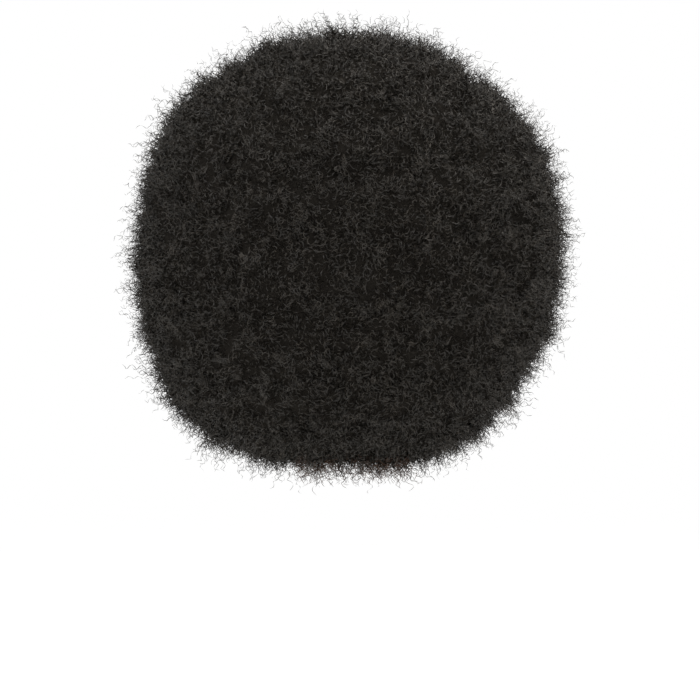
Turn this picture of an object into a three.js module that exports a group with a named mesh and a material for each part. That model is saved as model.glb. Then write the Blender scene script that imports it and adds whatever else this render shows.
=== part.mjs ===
// A round afro bob wig: a stretch cap with a bound edge, and rows of curly hair sewn round it.
// Millimetres, +Z up. The wearer faces -Y, and +X is the wearer's left.
// The origin is the inside top of the cap, where it sits on the crown of the head.
import * as THREE from "three";

// Half sizes of the head that the cap fits, about 550 mm round
const HEAD = { width: 78, front: 97, back: 97, height: 95 };
// Half sizes of the hair's outer form, at the feet of its locks, from the head's centre
const HAIR = { width: 178, front: 160, back: 183, height: 184 };
// Fuller and thinner places in the outline seen from behind. side is the angle up from the wearer's
// right and spread how wide the place is, in degrees, and swell its height in millimetres.
const SWELLS = [
  { place: "upper right", side: 32, swell: 4, spread: 22 },
  { place: "upper left", side: 139, swell: 6, spread: 13 },
  { place: "left", side: 180, swell: -4, spread: 14 },
  { place: "lower left", side: 226, swell: 9, spread: 20 },
  { place: "lower right", side: 298, swell: 4, spread: 16 },
];

const CAP_WALL = 1.6;
const CAP_COLUMNS = 36;
const CAP_ROWS = 12;
const BAND_WALL = 2.2;
const BAND_WIDTH = 8;
const BAND_GAP = 0.4;
// Clear space between the cap and the hair's sewn edge
const HAIR_GAP = 0.5;

// The crown axis leans back from upright, so that rows round it run from the forehead to the nape.
const CROWN_LEAN = THREE.MathUtils.degToRad(37);
// Where the edges lie, a row for each turn round the crown axis, alike on the left and the right.
// rim is the cap's edge and hem the hair's, in degrees down from the crown axis.
// rounding takes the hem's outer corner back, and fullness swells the hair's underside, in millimetres.
const EDGES = [
  { place: "forehead", turn: 0, rim: 102, hem: 105, rounding: 22, fullness: 3 },
  { place: "hairline", turn: 30, rim: 103, hem: 106, rounding: 22, fullness: 3 },
  { place: "temple", turn: 60, rim: 107, hem: 113, rounding: 20, fullness: 5 },
  { place: "ear tab", turn: 82, rim: 110, hem: 128, rounding: 18, fullness: 8 },
  { place: "over the ear", turn: 98, rim: 98, hem: 137, rounding: 14, fullness: 12 },
  { place: "behind the ear", turn: 116, rim: 92, hem: 142, rounding: 10, fullness: 12 },
  { place: "jaw", turn: 136, rim: 95, hem: 142, rounding: 3, fullness: 8 },
  { place: "nape corner", turn: 152, rim: 100, hem: 135, rounding: 0, fullness: 4 },
  { place: "nape", turn: 180, rim: 101, hem: 124, rounding: 0, fullness: 2 },
];
// Share of the way from crown to hem where the rounding starts
const ROUNDING_START = 0.8;

// Locks of curls: the space between their feet and how far their tips stand out
const LOCK_PITCH = 24;
const LOCK_LIFT = 9;
const UNDER_LOCK_LIFT = 5;
const LIFT_LEAST = 0.55;
const TIP_LEAN = 0.7;
// Sewn rows of hair from the hem up to the crown, as shares of the way from crown to hem
const WEFTS = [
  { name: "weft_1_hem", top: 0.85, bottom: 1, lockRows: 3, underRows: 3 },
  { name: "weft_2", top: 0.7, bottom: 0.85, lockRows: 3, underRows: 0 },
  { name: "weft_3", top: 0.55, bottom: 0.7, lockRows: 3, underRows: 0 },
  { name: "weft_4", top: 0.4, bottom: 0.55, lockRows: 3, underRows: 0 },
  { name: "weft_5", top: 0.25, bottom: 0.4, lockRows: 3, underRows: 0 },
  { name: "weft_6", top: 0.1, bottom: 0.25, lockRows: 3, underRows: 0 },
];
const CROWN = { name: "crown_hair", bottom: 0.1, lockRows: 2, locks: 7 };
const ROW_GAP = 0.005;
// The hair's underside keeps this share of its length clear of locks, next to the rim.
const UNDER_START = 0.14;
// How far along the hair, from root to tip, the faces between two rows keep the cap's columns
const FACE_END = 0.92;
// Steps between the numbers that make locks differ: from weft to weft, to its underside, from row to
// row, and from the way that a tip leans to how it sinks and how it rises
const SEED_STEPS = { weft: 1000, underside: 500, row: 97, sink: 0.3, rise: 0.7 };
// Turns closer than this, in degrees, count as the same
const SAME_TURN = 1e-6;

const centre = new THREE.Vector3(0, 0, -HEAD.height);
const crownAxis = new THREE.Vector3(0, Math.sin(CROWN_LEAN), Math.cos(CROWN_LEAN));
const forward = new THREE.Vector3(0, -Math.cos(CROWN_LEAN), Math.sin(CROWN_LEAN));
const left = new THREE.Vector3(1, 0, 0);

// A smooth curve through one column of EDGES, level at the forehead and the nape.
function edgeCurve(column) {
  const turns = new Float32Array(EDGES.map((row) => row.turn));
  const values = new Float32Array(EDGES.map((row) => row[column]));
  const curve = new THREE.CubicInterpolant(turns, values, 1);
  curve.settings = { endingStart: THREE.ZeroSlopeEnding, endingEnd: THREE.ZeroSlopeEnding };
  return (turn) => {
    const round = THREE.MathUtils.euclideanModulo(turn, 360);
    return curve.evaluate(Math.min(round, 360 - round))[0];
  };
}

const rimAngle = edgeCurve("rim");
const hemAngle = edgeCurve("hem");
const hemRounding = edgeCurve("rounding");
const underFullness = edgeCurve("fullness");

// The unit direction at a turn round the crown axis and an angle down from it, in degrees.
function direction(turn, angle) {
  const t = THREE.MathUtils.degToRad(turn);
  const a = THREE.MathUtils.degToRad(angle);
  return crownAxis
    .clone()
    .multiplyScalar(Math.cos(a))
    .addScaledVector(forward, Math.sin(a) * Math.cos(t))
    .addScaledVector(left, Math.sin(a) * Math.sin(t));
}

// How far an egg shape of these half sizes, grown by a margin, reaches along a unit direction.
function reach(sizes, margin, way) {
  const length = (way.y < 0 ? sizes.front : sizes.back) + margin;
  return 1 / Math.hypot(way.x / (sizes.width + margin), way.y / length, way.z / (sizes.height + margin));
}

// A point on the head's form grown by a margin.
function onHead(turn, angle, margin) {
  const way = direction(turn, angle);
  return way.multiplyScalar(reach(HEAD, margin, way)).add(centre);
}

// How much the hair swells along a unit direction, most at the outline and not at all at the very back.
function swellAlong(way) {
  const side = THREE.MathUtils.radToDeg(Math.atan2(way.z, -way.x));
  const flank = 1 - way.y ** 2;
  return SWELLS.reduce((sum, place) => {
    const apart = THREE.MathUtils.euclideanModulo(side - place.side + 180, 360) - 180;
    return sum + place.swell * flank * Math.exp(-((apart / place.spread) ** 2));
  }, 0);
}

// A point on the hair's outer form, share of the way from crown to hem.
function onOuter(turn, share) {
  const way = direction(turn, share * hemAngle(turn));
  const near = Math.max(0, (share - ROUNDING_START) / (1 - ROUNDING_START));
  const taken = hemRounding(turn) * (1 - Math.sqrt(1 - Math.min(1, near) ** 2));
  return way.multiplyScalar(reach(HAIR, 0, way) + swellAlong(way) - taken).add(centre);
}

// A point in the hair, share of the way from crown to hem and along of the way from root to tip.
function inHair(turn, share, along) {
  const root = onHead(turn, share * rimAngle(turn), CAP_WALL + HAIR_GAP);
  return root.lerp(onOuter(turn, share), along);
}

// The way out of the hair through its underside.
function underWay(turn, along) {
  const step = 0.02;
  return inHair(turn, 1, along).sub(inHair(turn, 1 - step, along)).normalize();
}

// A point on the hair's underside, which swells between the rim and the hem, raised by a lift.
function onUnderside(turn, along, lift) {
  const swell = underFullness(turn) * 4 * along * (1 - along);
  return inHair(turn, 1, along).addScaledVector(underWay(turn, along), swell + lift);
}

// A point on the hair's outer form, raised by a lift.
function onLocks(turn, share, lift) {
  const foot = onOuter(turn, share);
  const way = foot.clone().sub(centre).normalize();
  return foot.addScaledVector(way, lift);
}

// A repeatable number from 0 to 1 that differs from lock to lock.
function chance(seed) {
  const wave = Math.sin(seed * 12.9898) * 43758.5453;
  return wave - Math.floor(wave);
}

// A closed loop of points round the crown axis. pointAt gets each point's turn and number.
function loop(count, pointAt) {
  return Array.from({ length: count }, (_, i) => {
    const turn = (i * 360) / count;
    return { turn, point: pointAt(turn, i) };
  });
}

// A single point that closes a surface on the crown axis.
const pole = (point) => [{ turn: 0, point }];

// Two triangles, split along the diagonal that stands further from the head's centre.
function quad(upper, upperNext, lower, lowerNext) {
  const rise = (a, b) => a.distanceTo(centre) + b.distanceTo(centre);
  return rise(upper, lowerNext) > rise(upperNext, lower)
    ? [upper, lower, lowerNext, upper, lowerNext, upperNext]
    : [upper, lower, upperNext, upperNext, lower, lowerNext];
}

// Triangles between an upper and a lower loop, whose numbers of points may differ.
function strip(upper, lower) {
  const corners = [];
  const at = (ring, i) => ring[i % ring.length].point;
  const turnAfter = (ring, i) => {
    if (ring.length === 1 || i >= ring.length) return Infinity;
    return i + 1 === ring.length ? 360 : ring[i + 1].turn;
  };
  let u = 0;
  let l = 0;
  while (turnAfter(upper, u) < Infinity || turnAfter(lower, l) < Infinity) {
    const lead = turnAfter(upper, u) - turnAfter(lower, l);
    if (Math.abs(lead) < SAME_TURN) {
      corners.push(...quad(at(upper, u), at(upper, u + 1), at(lower, l), at(lower, l + 1)));
      u += 1;
      l += 1;
    } else if (lead < 0) {
      corners.push(at(upper, u), at(lower, l), at(upper, u + 1));
      u += 1;
    } else {
      corners.push(at(upper, u), at(lower, l), at(lower, l + 1));
      l += 1;
    }
  }
  return corners;
}

// A closed solid whose skin runs through the loops in turn, and back to the first if it is a ring.
function skin(loops, isRing) {
  const corners = [];
  const last = isRing ? loops.length : loops.length - 1;
  for (let i = 0; i < last; i += 1) {
    corners.push(...strip(loops[i], loops[(i + 1) % loops.length]));
  }
  const geometry = new THREE.BufferGeometry().setFromPoints(corners);
  geometry.computeVertexNormals();
  return geometry;
}

// The cap: a thin bowl from the crown to just above the bound edge.
function capGeometry() {
  const bandAngle = THREE.MathUtils.radToDeg((BAND_WIDTH + BAND_GAP) / HEAD.height);
  const ring = (margin) => (row) =>
    loop(CAP_COLUMNS, (turn) => onHead(turn, (row / CAP_ROWS) * (rimAngle(turn) - bandAngle), margin));
  const rows = Array.from({ length: CAP_ROWS }, (_, i) => i + 1);
  return skin(
    [
      pole(onHead(0, 0, CAP_WALL)),
      ...rows.map(ring(CAP_WALL)),
      ...rows.reverse().map(ring(0)),
      pole(onHead(0, 0, 0)),
    ],
    false,
  );
}

// The bound edge: a strip a little thicker than the cap, round its whole opening.
function bandGeometry() {
  const bandAngle = THREE.MathUtils.radToDeg(BAND_WIDTH / HEAD.height);
  const ring = (rise, margin) =>
    loop(CAP_COLUMNS, (turn) => onHead(turn, rimAngle(turn) - rise, margin));
  const inside = CAP_WALL - BAND_WALL;
  return skin(
    [ring(bandAngle, CAP_WALL), ring(0, CAP_WALL), ring(0, inside), ring(bandAngle, inside)],
    true,
  );
}

// How many locks of LOCK_PITCH fit round the hair, a share of the way from crown to hem.
function locksRound(share) {
  const ring = loop(CAP_COLUMNS, (turn) => onOuter(turn, share));
  const around = ring.reduce((sum, here, i) => {
    return sum + here.point.distanceTo(ring[(i + 1) % ring.length].point);
  }, 0);
  return Math.round(around / LOCK_PITCH);
}

// Rows of locks as loops: feet, then tips, then feet. place gives a point from its turn, its way
// along the rows from 0 to 1, and its lift. Tips of one row stand between the tips of the next.
function lockLoops(rows, locks, seed, lift, place) {
  const loops = [];
  const width = 360 / (2 * locks);
  for (let half = 0; half <= 2 * rows; half += 1) {
    const isTipRow = half % 2 === 1;
    const offset = ((half - 1) / 2) % 2;
    loops.push(
      loop(2 * locks, (turn, i) => {
        if (!isTipRow || i % 2 !== offset) return place(turn, half / (2 * rows), 0);
        const lock = seed + half * SEED_STEPS.row + i;
        const lean = (chance(lock) - 0.5) * TIP_LEAN;
        const sink = (chance(lock + SEED_STEPS.sink) - 0.5) * TIP_LEAN;
        const rise = THREE.MathUtils.lerp(LIFT_LEAST, 1, chance(lock + SEED_STEPS.rise)) * lift;
        return place(turn + lean * width, (half + sink) / (2 * rows), rise);
      }),
    );
  }
  return loops;
}

// A sewn row of hair: locks outside, and its sewn edge on the cap inside.
function weftGeometry({ top, bottom, lockRows, underRows }, number) {
  const upper = top + ROW_GAP;
  const lower = bottom === 1 ? 1 : bottom - ROW_GAP;
  const share = (way) => THREE.MathUtils.lerp(upper, lower, way);
  const locks = locksRound((top + bottom) / 2);
  const seed = number * SEED_STEPS.weft;
  const outside = lockLoops(lockRows, locks, seed, LOCK_LIFT, (turn, way, lift) => {
    return onLocks(turn, share(way), lift);
  });
  const underSeed = seed + SEED_STEPS.underside;
  const under = lockLoops(underRows, locks, underSeed, UNDER_LOCK_LIFT, (turn, way, lift) => {
    return onUnderside(turn, THREE.MathUtils.lerp(1, UNDER_START, way), lift);
  });
  const ring = (at, along) => loop(CAP_COLUMNS, (turn) => inHair(turn, at, along));
  const lowerFace = underRows ? [] : [ring(lower, FACE_END)];
  const sewn = [lower, (upper + lower) / 2, upper].map((at) => ring(at, 0));
  return skin([...outside, ...under.slice(1), ...lowerFace, ...sewn, ring(upper, FACE_END)], true);
}

// The hair on the crown, which closes the rows at the top.
function crownGeometry({ bottom, lockRows, locks }) {
  const lower = bottom - ROW_GAP;
  const inner = lower / (lockRows + 1);
  const outside = lockLoops(lockRows, locks, 0, LOCK_LIFT, (turn, way, lift) => {
    return onLocks(turn, THREE.MathUtils.lerp(inner, lower, way), lift);
  });
  const ring = (at, along) => loop(CAP_COLUMNS, (turn) => inHair(turn, at, along));
  const sewn = [ring(lower, FACE_END), ring(lower, 0), ring(lower / 2, 0)];
  const whorl = pole(onLocks(0, 0, LOCK_LIFT));
  return skin([whorl, ...outside, ...sewn, pole(inHair(0, 0, 0))], false);
}

// A named piece of the wig.
function piece(name, geometry, material) {
  const mesh = new THREE.Mesh(geometry, material);
  mesh.name = name;
  return mesh;
}

const capNet = new THREE.MeshStandardMaterial({ color: 0x191817, roughness: 0.9, metalness: 0 });
const elastic = new THREE.MeshStandardMaterial({ color: 0x141312, roughness: 0.8, metalness: 0 });
const curls = new THREE.MeshStandardMaterial({ color: 0x211f1d, roughness: 0.65, metalness: 0 });

const hair = new THREE.Group();
WEFTS.forEach((weft, i) => hair.add(piece(weft.name, weftGeometry(weft, i + 1), curls)));
hair.add(piece(CROWN.name, crownGeometry(CROWN), curls));

const wig = new THREE.Group();
wig.add(piece("cap", capGeometry(), capNet));
wig.add(piece("edge_band", bandGeometry(), elastic));
wig.add(hair);

export default wig;
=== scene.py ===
"""A round afro wig: kinky curls over a dark core, in rows on a stretch cap with a bound edge."""
import math

import bmesh
import bpy
import numpy as np
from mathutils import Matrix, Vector, noise
from mathutils.bvhtree import BVHTree
from mathutils.kdtree import KDTree


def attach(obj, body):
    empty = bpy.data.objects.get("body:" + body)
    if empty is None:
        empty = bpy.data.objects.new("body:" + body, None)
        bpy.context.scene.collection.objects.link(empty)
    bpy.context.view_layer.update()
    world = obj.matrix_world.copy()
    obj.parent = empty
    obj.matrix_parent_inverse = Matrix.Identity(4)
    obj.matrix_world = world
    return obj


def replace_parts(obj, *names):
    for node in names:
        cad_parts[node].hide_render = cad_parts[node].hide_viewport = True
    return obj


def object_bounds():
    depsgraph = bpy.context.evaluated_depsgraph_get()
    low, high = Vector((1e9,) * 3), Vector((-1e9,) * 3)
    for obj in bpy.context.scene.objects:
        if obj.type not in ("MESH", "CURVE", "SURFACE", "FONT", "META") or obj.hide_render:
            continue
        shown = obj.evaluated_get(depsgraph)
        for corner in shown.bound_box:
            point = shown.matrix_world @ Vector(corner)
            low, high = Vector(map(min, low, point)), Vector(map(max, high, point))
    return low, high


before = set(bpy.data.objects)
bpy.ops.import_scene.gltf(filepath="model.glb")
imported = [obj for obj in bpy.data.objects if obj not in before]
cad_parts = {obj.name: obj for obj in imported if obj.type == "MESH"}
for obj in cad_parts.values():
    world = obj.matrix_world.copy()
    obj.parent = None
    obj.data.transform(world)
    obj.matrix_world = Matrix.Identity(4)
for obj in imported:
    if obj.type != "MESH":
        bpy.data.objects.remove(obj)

cad_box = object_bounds()

# The photograph's frame: 700 pixels across, and how much of the wig's middle plane one pixel covers
IMAGE_PIXELS = 700
METRES_PER_PIXEL = 0.00084
CAMERA_DISTANCE = 2.0
CAMERA_AIM = Vector((-0.0025, 0, -0.174))
SENSOR_WIDTH = 36.0
# The floor fades out between two distances from its middle.
FLOOR_LEVEL = -0.55
FLOOR_RADIUS = 6.0
FLOOR_SIDES = 96
FLOOR_FADE = (0.5, 3.6)
FLOOR_TONE = (0.93, 0.93, 0.92, 1.0)
# Square soft lights that face the wig: place and size in metres, energy in watts
LIGHTS = {
    "key": {"place": (0.9, 1.8, 1.5), "energy": 22, "size": 1.6, "colour": (1.0, 1.0, 1.0)},
    "top": {"place": (-0.5, 0.5, 1.9), "energy": 24, "size": 1.6, "colour": (1.0, 0.95, 0.88)},
    "rim": {"place": (-1.1, -0.8, 1.5), "energy": 16, "size": 1.8, "colour": (1.0, 0.90, 0.78)},
}

# The crown axis, which the rows of hair run round, leans back from upright.
CAP_CENTRE = np.array((0, 0, -0.095))
CROWN_LEAN = math.radians(37)
CROWN_AXIS = np.array((0, math.sin(CROWN_LEAN), math.cos(CROWN_LEAN)))
FORWARD = np.array((0, -math.cos(CROWN_LEAN), math.sin(CROWN_LEAN)))
HAIR_NODES = [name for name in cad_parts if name.startswith("weft") or name == "crown_hair"]
HEM = "weft_1_hem"
FABRIC_NODES = ("cap", "edge_band")
SEED = 11
# Points closer than this are one point, the least length to divide by, and the rise of a steep way
WELD = 1e-5
TINY = 1e-6
NEARLY_UPRIGHT = 0.9

# The core under the curls. A face of a row shows if no other solid lies close against it, or if it
# faces out and lies near the wig's outside. The locks are drawn together into one soft surface, whose
# edges reach across the gap between two rows, and which is taken in and raised in tufts and small
# lumps (size and height of each). The underside is taken in less and has higher lumps. All this fades
# out close to the fabric.
HIDDEN_WITHIN = 0.006
CLEAR_OF_FACE = 0.05
OUTWARD = 0.35
OUTER_DEPTH = 0.014
OUTSIDE = 0.5
CORE_CUTS = 2
SOFTENING = 0.010
DRAWN_OUT = 4
SEAM_REACH = 0.0080
CORE_INSET = 0.0066
UNDER_INSET = -0.0005
UNDER_LUMPS = 0.6
FABRIC_FADE = 0.018
CORE_LUMPS = [(0.032, 0.007), (0.015, 0.0024), (0.008, 0.0014)]

# Curls for each square metre of hair that shows, and the least and most of their sizes in metres.
# length is along the coil's axis, coil its radius, width half the flat fibre's and lean its slope.
# The higher the skew, the more of them are short. under is the share that the wig's underside has.
CURL = {
    "density": 88000,
    "under": 0.5,
    "steps": 8,
    "length": (0.009, 0.023),
    "skew": 1.6,
    "turns": (1.2, 2.0),
    "coil": (0.0010, 0.0023),
    "width": (0.00036, 0.00056),
    "lean": (0.3, 2.2),
    "sink": 0.003,
}
FRINGE = {
    "density": 18000,
    "under": 0.8,
    "steps": 20,
    "length": (0.014, 0.034),
    "skew": 1.1,
    "turns": (3.4, 5.4),
    "coil": (0.0010, 0.0022),
    "width": (0.00024, 0.00036),
    "lean": (0.6, 1.4),
    "sink": 0.002,
}
FLYAWAY = {
    "density": 1000,
    "under": 1.0,
    "steps": 20,
    "length": (0.018, 0.029),
    "skew": 1.2,
    "turns": (2.8, 4.4),
    "coil": (0.0014, 0.0032),
    "width": (0.00015, 0.00024),
    "lean": (0.0, 0.8),
    "sink": 0.002,
}
HAIR_PARTS = {"curls": (CURL,), "frizz": (FRINGE, FLYAWAY)}
# Strands hold together in clumps of about this size. How far those of a clump lean the same way, from 0
# to 1, how much their lengths differ from the next clump's and how far their coils are out of step
CLUMP = 0.012
CLUMPING = 0.6
TUFTING = 0.35
OUT_OF_STEP = 1.6
# How far strands are drawn to straight out from the cap's middle, and how far they reach past the box
# that the solids fill, at most
STRAIGHT_OUT = 2.5
TRIM = 0.018
# A strand's coil at its root, as a share of its radius, the share of its width that it loses towards the
# tip, and the free border of its cell on the flat map
COIL_AT_ROOT = 0.45
TIP_THINNING = 0.5
UV_MARGIN = 0.08
# Fibres that swirl on the core between the curls, and their tones: the hair's own tone, darkened to paint
# the shade between the curls, and darkest between the swirls, painted shade between the fibres
DEPTH_SWIRLS = {"Scale": 300.0, "Distortion": 40.0, "Detail": 2.0, "Detail Scale": 0.7}
DEPTH_TONES = [(0.1, (0.0060, 0.0053, 0.0045)), (0.9, (0.0178, 0.0157, 0.0133))]
# Tones of the fibres, from the darkest strands to the lightest, and their places on the ramp. Each strand
# has its own tone, and a broad noise of this scale and share paints soft patches of light and shade over
# the strands, so that neighbours lighten or darken together.
TONE_PLACES = (0.1, 0.5, 0.9)
LIGHT_AND_SHADE_PATCHES = {"scale": 55.0, "share": 0.3}
FIBRE_TONES = {
    "curls": [(0.0086, 0.0072, 0.0055), (0.0130, 0.0109, 0.0083), (0.0195, 0.0160, 0.0121)],
    # The frizz, whose longer strands make the fuzzy rim, is painted lighter than the curls: painted
    # light, for light that shines through the hair at the rim.
    "frizz": [(0.0130, 0.0109, 0.0084), (0.0215, 0.0181, 0.0140), (0.0350, 0.0292, 0.0225)],
    # The wisps' brown is painted light, for light that shines through the thin hairs.
    "wisps": [(0.0220, 0.0125, 0.0085), (0.0450, 0.0240, 0.0155), (0.0820, 0.0430, 0.0260)],
}
# Fine strands that hang from the nape, painted brown and lighter than the rest for light that shines
# through them: how many, and the box their roots lie in
WISP = {
    "steps": 18,
    "length": (0.014, 0.028),
    "skew": 1.4,
    "turns": (1.6, 3.4),
    "coil": (0.0014, 0.0032),
    "width": (0.00024, 0.00038),
    "lean": (0.0, 1.0),
    "sink": 0.002,
}
WISPS = 360
WISP_BOX = ((-0.050, 0.030, -0.290), (0.040, 0.090, -0.258))
WISP_WAY = (0.0, 0.25, -1.0)
# Sewn tracks on the cap: the first one's angle from the crown axis, the steps between them and half a
# track's width, in degrees. The edge band has fine ribs along it, with painted shade in their grooves and
# painted light on their tops.
TRACKS = {"first": 10.3, "step": 15.4, "half_width": 1.9}
RIBS = 7
NET_SCALE = 420.0
WEAVE_SCALE = 1400.0
NET_TONES = [(0.05, (0.060, 0.056, 0.052)), (0.35, (0.010, 0.0095, 0.009))]
TRACK_TONES = [(0.3, (0.016, 0.015, 0.014)), (0.7, (0.050, 0.047, 0.044))]
# The elastic's tones run from painted shade in the rib grooves to painted light on the rib tops.
ELASTIC_TONES = [(0.2, (0.008, 0.0077, 0.0074)), (0.8, (0.050, 0.048, 0.045))]


def unit(vectors):
    """The vectors at length one."""
    return vectors / np.linalg.norm(vectors, axis=-1, keepdims=True)


def square_to(ways):
    """Two unit vectors that are square to each way and to each other."""
    upright = np.abs(ways[:, 2:]) > NEARLY_UPRIGHT
    first = unit(np.cross(ways, np.where(upright, (1.0, 0.0, 0.0), (0.0, 0.0, 1.0))))
    return first, np.cross(ways, first)


def principled(name, roughness, specular):
    """A new material, with its node tree and its shader."""
    material = bpy.data.materials.new(name)
    material.use_nodes = True
    tree = material.node_tree
    shader = tree.nodes["Principled BSDF"]
    shader.inputs["Roughness"].default_value = roughness
    shader.inputs["Specular IOR Level"].default_value = specular
    return material, tree, shader


def ramp(tree, factor, stops):
    """The colour that a ramp of (place, colour) stops gives for a factor."""
    node = tree.nodes.new("ShaderNodeValToRGB")
    tree.links.new(factor, node.inputs["Fac"])
    elements = node.color_ramp.elements
    while len(elements) < len(stops):
        elements.new(0.5)
    for element, (place, colour) in zip(elements, stops):
        element.position = place
        element.color = (*colour, 1.0)
    return node.outputs["Color"]


def noise_texture(tree, scale, detail=3.0):
    """A noise in the piece's own coordinates."""
    place = tree.nodes.new("ShaderNodeTexCoord").outputs["Object"]
    node = tree.nodes.new("ShaderNodeTexNoise")
    node.inputs["Scale"].default_value = scale
    node.inputs["Detail"].default_value = detail
    tree.links.new(place, node.inputs["Vector"])
    return node.outputs["Fac"]


def bump(tree, shader, height, strength, distance):
    """Raises the shader's surface by a height."""
    node = tree.nodes.new("ShaderNodeBump")
    node.inputs["Strength"].default_value = strength
    node.inputs["Distance"].default_value = distance
    tree.links.new(height, node.inputs["Height"])
    tree.links.new(node.outputs["Normal"], shader.inputs["Normal"])


def fibre_material(part):
    """Fibre of a part of the hair, whose strands differ in tone, with painted patches of light and shade.
    """
    material, tree, shader = principled(part + "_fibre", roughness=0.45, specular=0.35)
    # The broad noise mixed in here paints soft patches of light and shade over the strands' tones.
    mix = tree.nodes.new("ShaderNodeMix")
    mix.inputs["Factor"].default_value = LIGHT_AND_SHADE_PATCHES["share"]
    tree.links.new(tree.nodes.new("ShaderNodeNewGeometry").outputs["Random Per Island"], mix.inputs["A"])
    tree.links.new(noise_texture(tree, LIGHT_AND_SHADE_PATCHES["scale"]), mix.inputs["B"])
    tones = list(zip(TONE_PLACES, FIBRE_TONES[part]))
    tree.links.new(ramp(tree, mix.outputs["Result"], tones), shader.inputs["Base Color"])
    return material


def core_material():
    """The dark depth between the curls, where fine fibres swirl. Its darkness is partly painted shade."""
    material, tree, shader = principled("curl_depth", roughness=0.9, specular=0.03)
    place = tree.nodes.new("ShaderNodeTexCoord").outputs["Object"]
    swirls = tree.nodes.new("ShaderNodeTexWave")
    tree.links.new(place, swirls.inputs["Vector"])
    for name, value in DEPTH_SWIRLS.items():
        swirls.inputs[name].default_value = value
    fine = swirls.outputs["Fac"]
    # Darkest where the swirls sink: painted shade between the fine fibres.
    tree.links.new(ramp(tree, fine, DEPTH_TONES), shader.inputs["Base Color"])
    bump(tree, shader, fine, strength=0.4, distance=0.0006)
    return material


def calculate(tree, operation, first, second=0.0):
    """A number worked out from a socket and a constant."""
    node = tree.nodes.new("ShaderNodeMath")
    node.operation = operation
    tree.links.new(first, node.inputs[0])
    node.inputs[1].default_value = second
    return node.outputs["Value"]


def from_track(tree, place):
    """How many degrees a place on the cap lies from the middle of the nearest sewn track."""
    shifted = tree.nodes.new("ShaderNodeVectorMath")
    shifted.operation = "SUBTRACT"
    tree.links.new(place, shifted.inputs[0])
    shifted.inputs[1].default_value = CAP_CENTRE
    way = tree.nodes.new("ShaderNodeVectorMath")
    way.operation = "NORMALIZE"
    tree.links.new(shifted.outputs["Vector"], way.inputs[0])
    rise = tree.nodes.new("ShaderNodeVectorMath")
    rise.operation = "DOT_PRODUCT"
    tree.links.new(way.outputs["Vector"], rise.inputs[0])
    rise.inputs[1].default_value = CROWN_AXIS
    angle = calculate(tree, "ARCCOSINE", rise.outputs["Value"])
    down = calculate(tree, "MULTIPLY_ADD", angle, math.degrees(1))
    down.node.inputs[2].default_value = -TRACKS["first"]
    return calculate(tree, "PINGPONG", down, TRACKS["step"] / 2)


def net_material():
    """Black stretch net, a fine knit, with woven tracks sewn round it."""
    material, tree, shader = principled("stretch_net", roughness=0.7, specular=0.25)
    place = tree.nodes.new("ShaderNodeTexCoord").outputs["Object"]
    cells = tree.nodes.new("ShaderNodeTexVoronoi")
    cells.feature = "DISTANCE_TO_EDGE"
    cells.inputs["Scale"].default_value = NET_SCALE
    tree.links.new(place, cells.inputs["Vector"])
    net = ramp(tree, cells.outputs["Distance"], NET_TONES)
    woven = ramp(tree, noise_texture(tree, WEAVE_SCALE, detail=1.0), TRACK_TONES)
    track = calculate(tree, "LESS_THAN", from_track(tree, place), TRACKS["half_width"])
    mix = tree.nodes.new("ShaderNodeMix")
    mix.data_type = "RGBA"
    factor, colours, result = mix.inputs[0], mix.inputs[6:8], mix.outputs[2]
    tree.links.new(track, factor)
    tree.links.new(net, colours[0])
    tree.links.new(woven, colours[1])
    tree.links.new(result, shader.inputs["Base Color"])
    bump(tree, shader, track, strength=1.0, distance=0.0012)
    return material


def elastic_material():
    """Black elastic tape with fine ribs along it, painted darker in the grooves and lighter on the tops.
    """
    material, tree, shader = principled("ribbed_elastic", roughness=0.6, specular=0.3)
    width = tree.nodes.new("ShaderNodeAttribute")
    width.attribute_name = "width"
    rib = calculate(tree, "PINGPONG", calculate(tree, "MULTIPLY", width.outputs["Fac"], RIBS * 2.0), 1.0)
    # Painted shade in the rib grooves and painted light on the rib tops.
    tree.links.new(ramp(tree, rib, ELASTIC_TONES), shader.inputs["Base Color"])
    bump(tree, shader, rib, strength=0.8, distance=0.0005)
    return material


def solids_tree(names):
    """Some solids of the wig, for finding what lies near them."""
    points = []
    faces = []
    for name in names:
        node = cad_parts[name]
        start = len(points)
        points.extend(vertex.co.copy() for vertex in node.data.vertices)
        faces.extend([start + i for i in face.vertices] for face in node.data.polygons)
    return BVHTree.FromPolygons(points, faces)


def add_piece(name, mesh, material):
    """A new piece of the wig, made of a mesh and one material."""
    piece = bpy.data.objects.new(name, mesh)
    bpy.context.scene.collection.objects.link(piece)
    mesh.materials.clear()
    mesh.materials.append(material)
    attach(piece, "root")
    return piece


def is_shown(face, solids):
    """Whether a face of a row of hair is on the wig's outside or underside."""
    middle = face.calc_center_median()
    start = middle + face.normal * HIDDEN_WITHIN * CLEAR_OF_FACE
    if solids.ray_cast(start, face.normal, HIDDEN_WITHIN)[0] is None:
        return True
    radial = (middle - Vector(CAP_CENTRE)).normalized()
    outside = solids.ray_cast(middle + radial * OUTSIDE, -radial)[3]
    return face.normal.dot(radial) > OUTWARD and OUTSIDE - outside < OUTER_DEPTH


def fine_form(node, solids):
    """A finer copy of a row of hair. Its faces that show have index 1 and end in a sharp edge."""
    form = bmesh.new()
    form.from_mesh(node.data)
    bmesh.ops.remove_doubles(form, verts=form.verts, dist=WELD)
    form.normal_update()
    for face in form.faces:
        face.material_index = int(is_shown(face, solids))
        face.smooth = True
    edges = [edge for edge in form.edges if any(face.material_index for face in edge.link_faces)]
    bmesh.ops.subdivide_edges(form, edges=edges, cuts=CORE_CUTS, use_grid_fill=True)
    for edge in form.edges:
        edge.smooth = len({face.material_index for face in edge.link_faces}) == 1
    form.normal_update()
    return form


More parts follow.
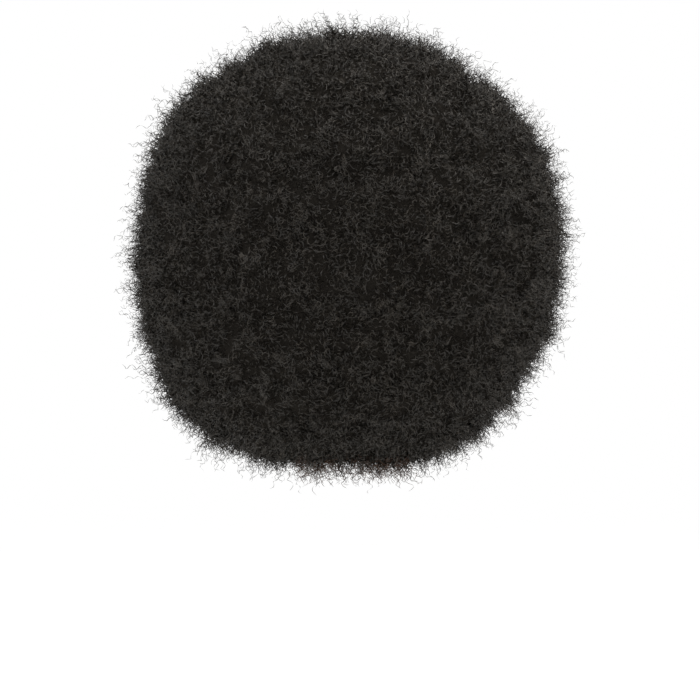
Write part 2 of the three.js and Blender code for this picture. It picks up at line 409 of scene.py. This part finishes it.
def way_out(vert):
    """The way that a point of a row faces, by its faces that show, drawn to straight out."""
    faces = [face for face in vert.link_faces if face.material_index]
    way = sum((face.normal * face.calc_area() for face in faces), Vector()).normalized()
    radial = (vert.co - Vector(CAP_CENTRE)).normalized()
    return (way + radial * DRAWN_OUT * max(way.dot(radial), 0)).normalized()


def across_gap(vert):
    """The way from a row's edge to the next row, or nothing where a point isn't on such an edge."""
    faces = [face for face in vert.link_faces if not face.material_index]
    way = sum((face.normal for face in faces), Vector())
    radial = (vert.co - Vector(CAP_CENTRE)).normalized()
    return (way - radial * way.dot(radial)).normalized()


def soften(forms, fabric):
    """Draws the locks of all rows into one soft surface with tufts and lumps, clear of the fabric."""
    verts = [vert for form in forms for vert in form.verts]
    verts = [vert for vert in verts if any(face.material_index for face in vert.link_faces)]
    places = np.array([vert.co for vert in verts])
    ways = np.array([way_out(vert) for vert in verts])
    gaps = np.array([across_gap(vert) for vert in verts])
    tree = KDTree(len(verts))
    for number, vert in enumerate(verts):
        tree.insert(vert.co, number)
    tree.balance()
    for vert, place, way, gap in zip(verts, places, ways, gaps):
        found = tree.find_range(place, SOFTENING * 2)
        near = [item[1] for item in found]
        apart = np.array([item[2] for item in found]) / SOFTENING
        weights = np.exp(-apart * apart) * np.clip(ways[near] @ way, 0, 1)
        middle = weights @ places[near] / weights.sum()
        out = unit(weights @ ways[near])
        level = place - out * (out @ (place - middle)) + (gap - out * (out @ gap)) * SEAM_REACH
        lumps = sum(noise.noise(Vector(level) / size) * height for size, height in CORE_LUMPS)
        facing = np.clip(out @ unit(level - CAP_CENTRE), 0, 1)
        lumps *= 1 + UNDER_LUMPS * (1 - facing)
        inset = UNDER_INSET + (CORE_INSET - UNDER_INSET) * facing
        moved = level + out * (lumps - inset)
        free = min(fabric.find_nearest(place)[3] / FABRIC_FADE, 1)
        vert.co = place + (moved - place) * free


def core_mesh(name, form):
    """A row's core as a mesh."""
    mesh = bpy.data.meshes.new(name + "_core")
    form.to_mesh(mesh)
    form.free()
    return mesh


def scatter(rng, mesh, density):
    """Places spread over the faces of a core that show, the way out at each, and which face under."""
    mesh.calc_loop_triangles()
    count = len(mesh.loop_triangles)
    corners = np.empty(count * 3, np.int32)
    mesh.loop_triangles.foreach_get("vertices", corners)
    loops = np.empty(count * 3, np.int32)
    mesh.loop_triangles.foreach_get("loops", loops)
    owners = np.empty(count, np.int32)
    mesh.loop_triangles.foreach_get("polygon_index", owners)
    shown = np.empty(len(mesh.polygons), np.int32)
    mesh.polygons.foreach_get("material_index", shown)
    places = np.empty(len(mesh.vertices) * 3, np.float32)
    mesh.vertices.foreach_get("co", places)
    normals = np.empty(len(mesh.loops) * 3, np.float32)
    mesh.corner_normals.foreach_get("vector", normals)
    kept = shown[owners] == 1
    corners, loops = corners.reshape(-1, 3)[kept], loops.reshape(-1, 3)[kept]
    a, b, c = np.moveaxis(places.reshape(-1, 3)[corners].astype(float), 1, 0)
    areas = np.linalg.norm(np.cross(b - a, c - a), axis=1) / 2
    chosen = rng.choice(len(areas), int(areas.sum() * density), p=areas / areas.sum())
    u, v = rng.random((2, len(chosen), 1))
    folded = u + v > 1
    u, v = np.where(folded, 1 - u, u), np.where(folded, 1 - v, v)
    roots = a[chosen] + u * (b - a)[chosen] + v * (c - a)[chosen]
    out = unit(normals.reshape(-1, 3)[loops[chosen]].astype(float).sum(axis=1))
    radial = unit(roots - CAP_CENTRE)
    facing = np.sum(out * radial, axis=1)
    return roots, unit(out + radial * STRAIGHT_OUT * np.clip(facing, 0, 1)[:, None]), facing < 0


def clump_drift(roots, ways):
    """Where the clump at each root drifts along the surface, and a number that tells clumps apart."""
    drift = np.array([noise.noise_vector(Vector(root) / CLUMP) for root in roots]).reshape(-1, 3)
    mark = np.sum(drift * ways, axis=1, keepdims=True)
    return unit(drift - ways * mark), mark


def trim(path, roots):
    """Draws in the strands that reach too far past the solids' box."""
    low, high = np.array(cad_box)
    furthest = np.maximum(path - high, low - path).max(axis=1)
    root = np.maximum(roots - high, low - roots)
    share = np.clip((TRIM - root) / np.maximum(furthest - root, TINY), 0, 1).min(axis=1)
    return roots[:, None] + (path - roots[:, None]) * share[:, None, None]


def coil_strands(rng, roots, ways, kind):
    """Coiled flat strands that end in a point. Gives their points, by strand."""
    count = len(roots)

    def pick(name, skew=1):
        low, high = kind[name]
        return low + (high - low) * rng.random((count, 1)) ** skew

    steps = kind["steps"]
    along = np.linspace(0, 1, steps + 1)
    first, second = square_to(ways)
    drift, mark = clump_drift(roots, ways)
    heading = rng.uniform(0, 2 * math.pi, (count, 1))
    alone = np.cos(heading) * first + np.sin(heading) * second
    axis = unit(ways + pick("lean") * unit(drift * CLUMPING + alone * (1 - CLUMPING)))
    side, front = square_to(axis)
    hand = np.where(mark > 0, 1.0, -1.0)
    start = np.arctan2(np.sum(drift * second, axis=1), np.sum(drift * first, axis=1))[:, None]
    start += rng.uniform(-OUT_OF_STEP, OUT_OF_STEP, (count, 1))
    spin = start + hand * 2 * math.pi * pick("turns") * along
    coil = pick("coil") * (COIL_AT_ROOT + (1 - COIL_AT_ROOT) * np.sin(along * math.pi / 2))
    rise = pick("length", kind["skew"]) * (1 + TUFTING * mark) * along - kind["sink"]
    path = (
        roots[:, None]
        + axis[:, None] * rise[..., None]
        + side[:, None] * (coil * np.cos(spin))[..., None]
        + front[:, None] * (coil * np.sin(spin))[..., None]
    )
    path = trim(path, roots)
    forward = unit(np.gradient(path, axis=1))
    across = unit(np.cross(forward, np.broadcast_to(axis[:, None], forward.shape)))
    over = np.cross(forward, across)
    facing = rng.uniform(0, math.pi, (count, 1, 1))
    edge = across * np.cos(facing) + over * np.sin(facing)
    edge *= (pick("width") * (1 - TIP_THINNING * along))[..., None]
    sides = np.stack([path - edge, path + edge], axis=2)[:, :-1]
    return np.concatenate([sides.reshape(count, 2 * steps, 3), path[:, -1:]], axis=1)


def strand_faces(steps):
    """The faces of one strand, as corners of its points, and those corners' places on a flat map."""
    faces = []
    flat = []
    for step in range(steps - 1):
        left = 2 * step
        here, there = step / steps, (step + 1) / steps
        faces.append([left, left + 1, left + 3, left + 2])
        flat.append([(here, 0), (here, 1), (there, 1), (there, 0)])
    left = 2 * (steps - 1)
    faces.append([left, left + 1, left + 2])
    flat.append([(1 - 1 / steps, 0), (1 - 1 / steps, 1), (1, 0.5)])
    return faces, flat


def strands_mesh(name, groups):
    """One mesh of many strands. Each group holds its strands' points, by strand."""
    places, corners, sizes, flats = [], [], [], []
    strands = sum(len(points) for points in groups)
    columns = math.ceil(math.sqrt(strands))
    start, number = 0, 0
    for points in groups:
        count, each = points.shape[:2]
        faces, flat = strand_faces(each // 2)
        shape = np.concatenate([np.array(face) for face in faces])
        corners.append((start + np.arange(count)[:, None] * each + shape).ravel())
        sizes.append(np.tile([len(face) for face in faces], count))
        cell = number + np.arange(count)
        corner_places = np.concatenate([np.array(face, float) for face in flat])
        inner = UV_MARGIN + (1 - 2 * UV_MARGIN) * corner_places
        cells = np.stack([cell % columns, cell // columns], axis=1)
        flats.append(((cells[:, None] + inner) / columns).reshape(-1, 2))
        places.append(points.reshape(-1, 3))
        start += count * each
        number += count
    places, corners = np.concatenate(places), np.concatenate(corners)
    sizes, flats = np.concatenate(sizes), np.concatenate(flats)
    mesh = bpy.data.meshes.new(name)
    mesh.vertices.add(len(places))
    mesh.vertices.foreach_set("co", places.ravel())
    mesh.loops.add(len(corners))
    mesh.loops.foreach_set("vertex_index", corners)
    mesh.polygons.add(len(sizes))
    mesh.polygons.foreach_set("loop_start", np.concatenate([[0], np.cumsum(sizes)[:-1]]))
    mesh.polygons.foreach_set("use_smooth", np.ones(len(sizes), bool))
    mesh.update(calc_edges=True)
    mesh.uv_layers.new(name="OFBake").uv.foreach_set("vector", flats.ravel())
    return mesh


def add_strands(name, groups, fibre):
    """A piece of hair, made of groups of strands."""
    add_piece(name, strands_mesh(name, groups), fibre)


def make_hair():
    """Each row of hair as a dark core with curls and frizz over it."""
    solids = solids_tree(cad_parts)
    forms = {name: fine_form(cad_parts[name], solids) for name in HAIR_NODES}
    soften(forms.values(), solids_tree(FABRIC_NODES))
    depth = core_material()
    fibres = {part: fibre_material(part) for part in HAIR_PARTS}
    for number, (name, form) in enumerate(forms.items()):
        rng = np.random.default_rng([SEED, number])
        mesh = core_mesh(name, form)
        for part, kinds in HAIR_PARTS.items():
            outside = []
            underside = []
            for kind in kinds:
                roots, ways, under = scatter(rng, mesh, kind["density"])
                kept = under & (rng.random(len(under)) < kind["under"])
                outside.append(coil_strands(rng, roots[~under], ways[~under], kind))
                underside.append(coil_strands(rng, roots[kept], ways[kept], kind))
            add_strands(f"{name}_{part}", outside, fibres[part])
            if name == HEM:
                add_strands(f"{name}_under_{part}", underside, fibres[part])
        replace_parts(add_piece(name + "_core", mesh, depth), name)


def make_wisps():
    """Loose fine strands below the nape, rooted in the hem's core."""
    rng = np.random.default_rng([SEED, len(HAIR_NODES)])
    mesh = bpy.data.objects[HEM + "_core"].data
    places = np.empty(len(mesh.vertices) * 3, np.float32)
    mesh.vertices.foreach_get("co", places)
    places = places.reshape(-1, 3).astype(float)
    low, high = np.array(WISP_BOX)
    inside = places[np.all((places > low) & (places < high), axis=1)]
    roots = inside[rng.choice(len(inside), WISPS)]
    ways = np.broadcast_to(unit(np.array(WISP_WAY)), roots.shape)
    add_strands("nape_wisps", [coil_strands(rng, roots, ways, WISP)], fibre_material("wisps"))


def mark_width(mesh):
    """Marks each point of a band by how far down the band's width it lies, from 0 to 1."""
    places = np.empty(len(mesh.vertices) * 3, np.float32)
    mesh.vertices.foreach_get("co", places)
    ways = unit(places.reshape(-1, 3) - CAP_CENTRE)
    down = np.arccos(ways @ CROWN_AXIS)
    turns = np.degrees(np.arctan2(ways[:, 0], ways @ FORWARD)).round(1)
    for turn in np.unique(turns):
        here = turns == turn
        top, bottom = down[here].min(), down[here].max()
        down[here] = (down[here] - top) / (bottom - top)
    mesh.attributes.new("width", "FLOAT", "POINT").data.foreach_set("value", down)


def make_fabric(name, material):
    """A smoother copy of the cap or its band."""
    form = bmesh.new()
    form.from_mesh(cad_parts[name].data)
    bmesh.ops.remove_doubles(form, verts=form.verts, dist=WELD)
    bmesh.ops.join_triangles(
        form, faces=form.faces, angle_face_threshold=1.0, angle_shape_threshold=1.0
    )
    for face in form.faces:
        face.smooth = True
    mesh = bpy.data.meshes.new(name + "_fabric")
    form.to_mesh(mesh)
    form.free()
    mark_width(mesh)
    piece = add_piece(name + "_fabric", mesh, material)
    smoother = piece.modifiers.new("smooth", "SUBSURF")
    smoother.levels = 1
    smoother.render_levels = 1
    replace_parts(piece, name)


def make_floor():
    """A plain pale floor that fades into the pale surroundings."""
    mesh = bpy.data.meshes.new("floor")
    form = bmesh.new()
    bmesh.ops.create_circle(form, cap_ends=True, radius=FLOOR_RADIUS, segments=FLOOR_SIDES)
    form.to_mesh(mesh)
    form.free()
    floor = bpy.data.objects.new("floor", mesh)
    floor.location.z = FLOOR_LEVEL
    bpy.context.scene.collection.objects.link(floor)
    material, tree, shader = principled("pale_floor", roughness=0.9, specular=0.1)
    shader.inputs["Base Color"].default_value = FLOOR_TONE
    place = tree.nodes.new("ShaderNodeTexCoord").outputs["Object"]
    distance = tree.nodes.new("ShaderNodeVectorMath")
    distance.operation = "LENGTH"
    tree.links.new(place, distance.inputs[0])
    fade = tree.nodes.new("ShaderNodeMapRange")
    fade.inputs["From Min"].default_value = FLOOR_FADE[0]
    fade.inputs["From Max"].default_value = FLOOR_FADE[1]
    fade.interpolation_type = "SMOOTHSTEP"
    tree.links.new(distance.outputs["Value"], fade.inputs["Value"])
    clear = tree.nodes.new("ShaderNodeBsdfTransparent")
    mix = tree.nodes.new("ShaderNodeMixShader")
    tree.links.new(fade.outputs["Result"], mix.inputs["Fac"])
    tree.links.new(shader.outputs["BSDF"], mix.inputs[1])
    tree.links.new(clear.outputs["BSDF"], mix.inputs[2])
    tree.links.new(mix.outputs["Shader"], tree.nodes["Material Output"].inputs["Surface"])
    mesh.materials.append(material)


def make_light(name, place, energy, size, colour):
    """A square soft light that faces the wig."""
    data = bpy.data.lights.new(name, "AREA")
    data.energy = energy
    data.size = size
    data.color = colour
    light = bpy.data.objects.new(name, data)
    light.location = place
    light.rotation_euler = (CAMERA_AIM - Vector(place)).to_track_quat("-Z", "Y").to_euler()
    bpy.context.scene.collection.objects.link(light)


def make_studio():
    """White surroundings, soft lights and the camera, level behind the wig."""
    scene = bpy.context.scene
    world = bpy.data.worlds.new("studio")
    world.use_nodes = True
    world.node_tree.nodes["Background"].inputs["Color"].default_value = (1.0, 1.0, 1.0, 1.0)
    world.node_tree.nodes["Background"].inputs["Strength"].default_value = 1.0
    scene.world = world
    scene.view_settings.view_transform = "Standard"
    for name, light in LIGHTS.items():
        make_light(name, **light)
    data = bpy.data.cameras.new("camera")
    data.sensor_width = SENSOR_WIDTH
    data.lens = SENSOR_WIDTH * CAMERA_DISTANCE / (IMAGE_PIXELS * METRES_PER_PIXEL)
    camera = bpy.data.objects.new("camera", data)
    camera.location = CAMERA_AIM + Vector((0, CAMERA_DISTANCE, 0))
    camera.rotation_euler = (math.radians(90), 0, math.radians(180))
    scene.collection.objects.link(camera)
    scene.camera = camera


noise.seed_set(SEED)
make_hair()
make_wisps()
make_fabric("cap", net_material())
make_fabric("edge_band", elastic_material())
make_floor()
make_studio()
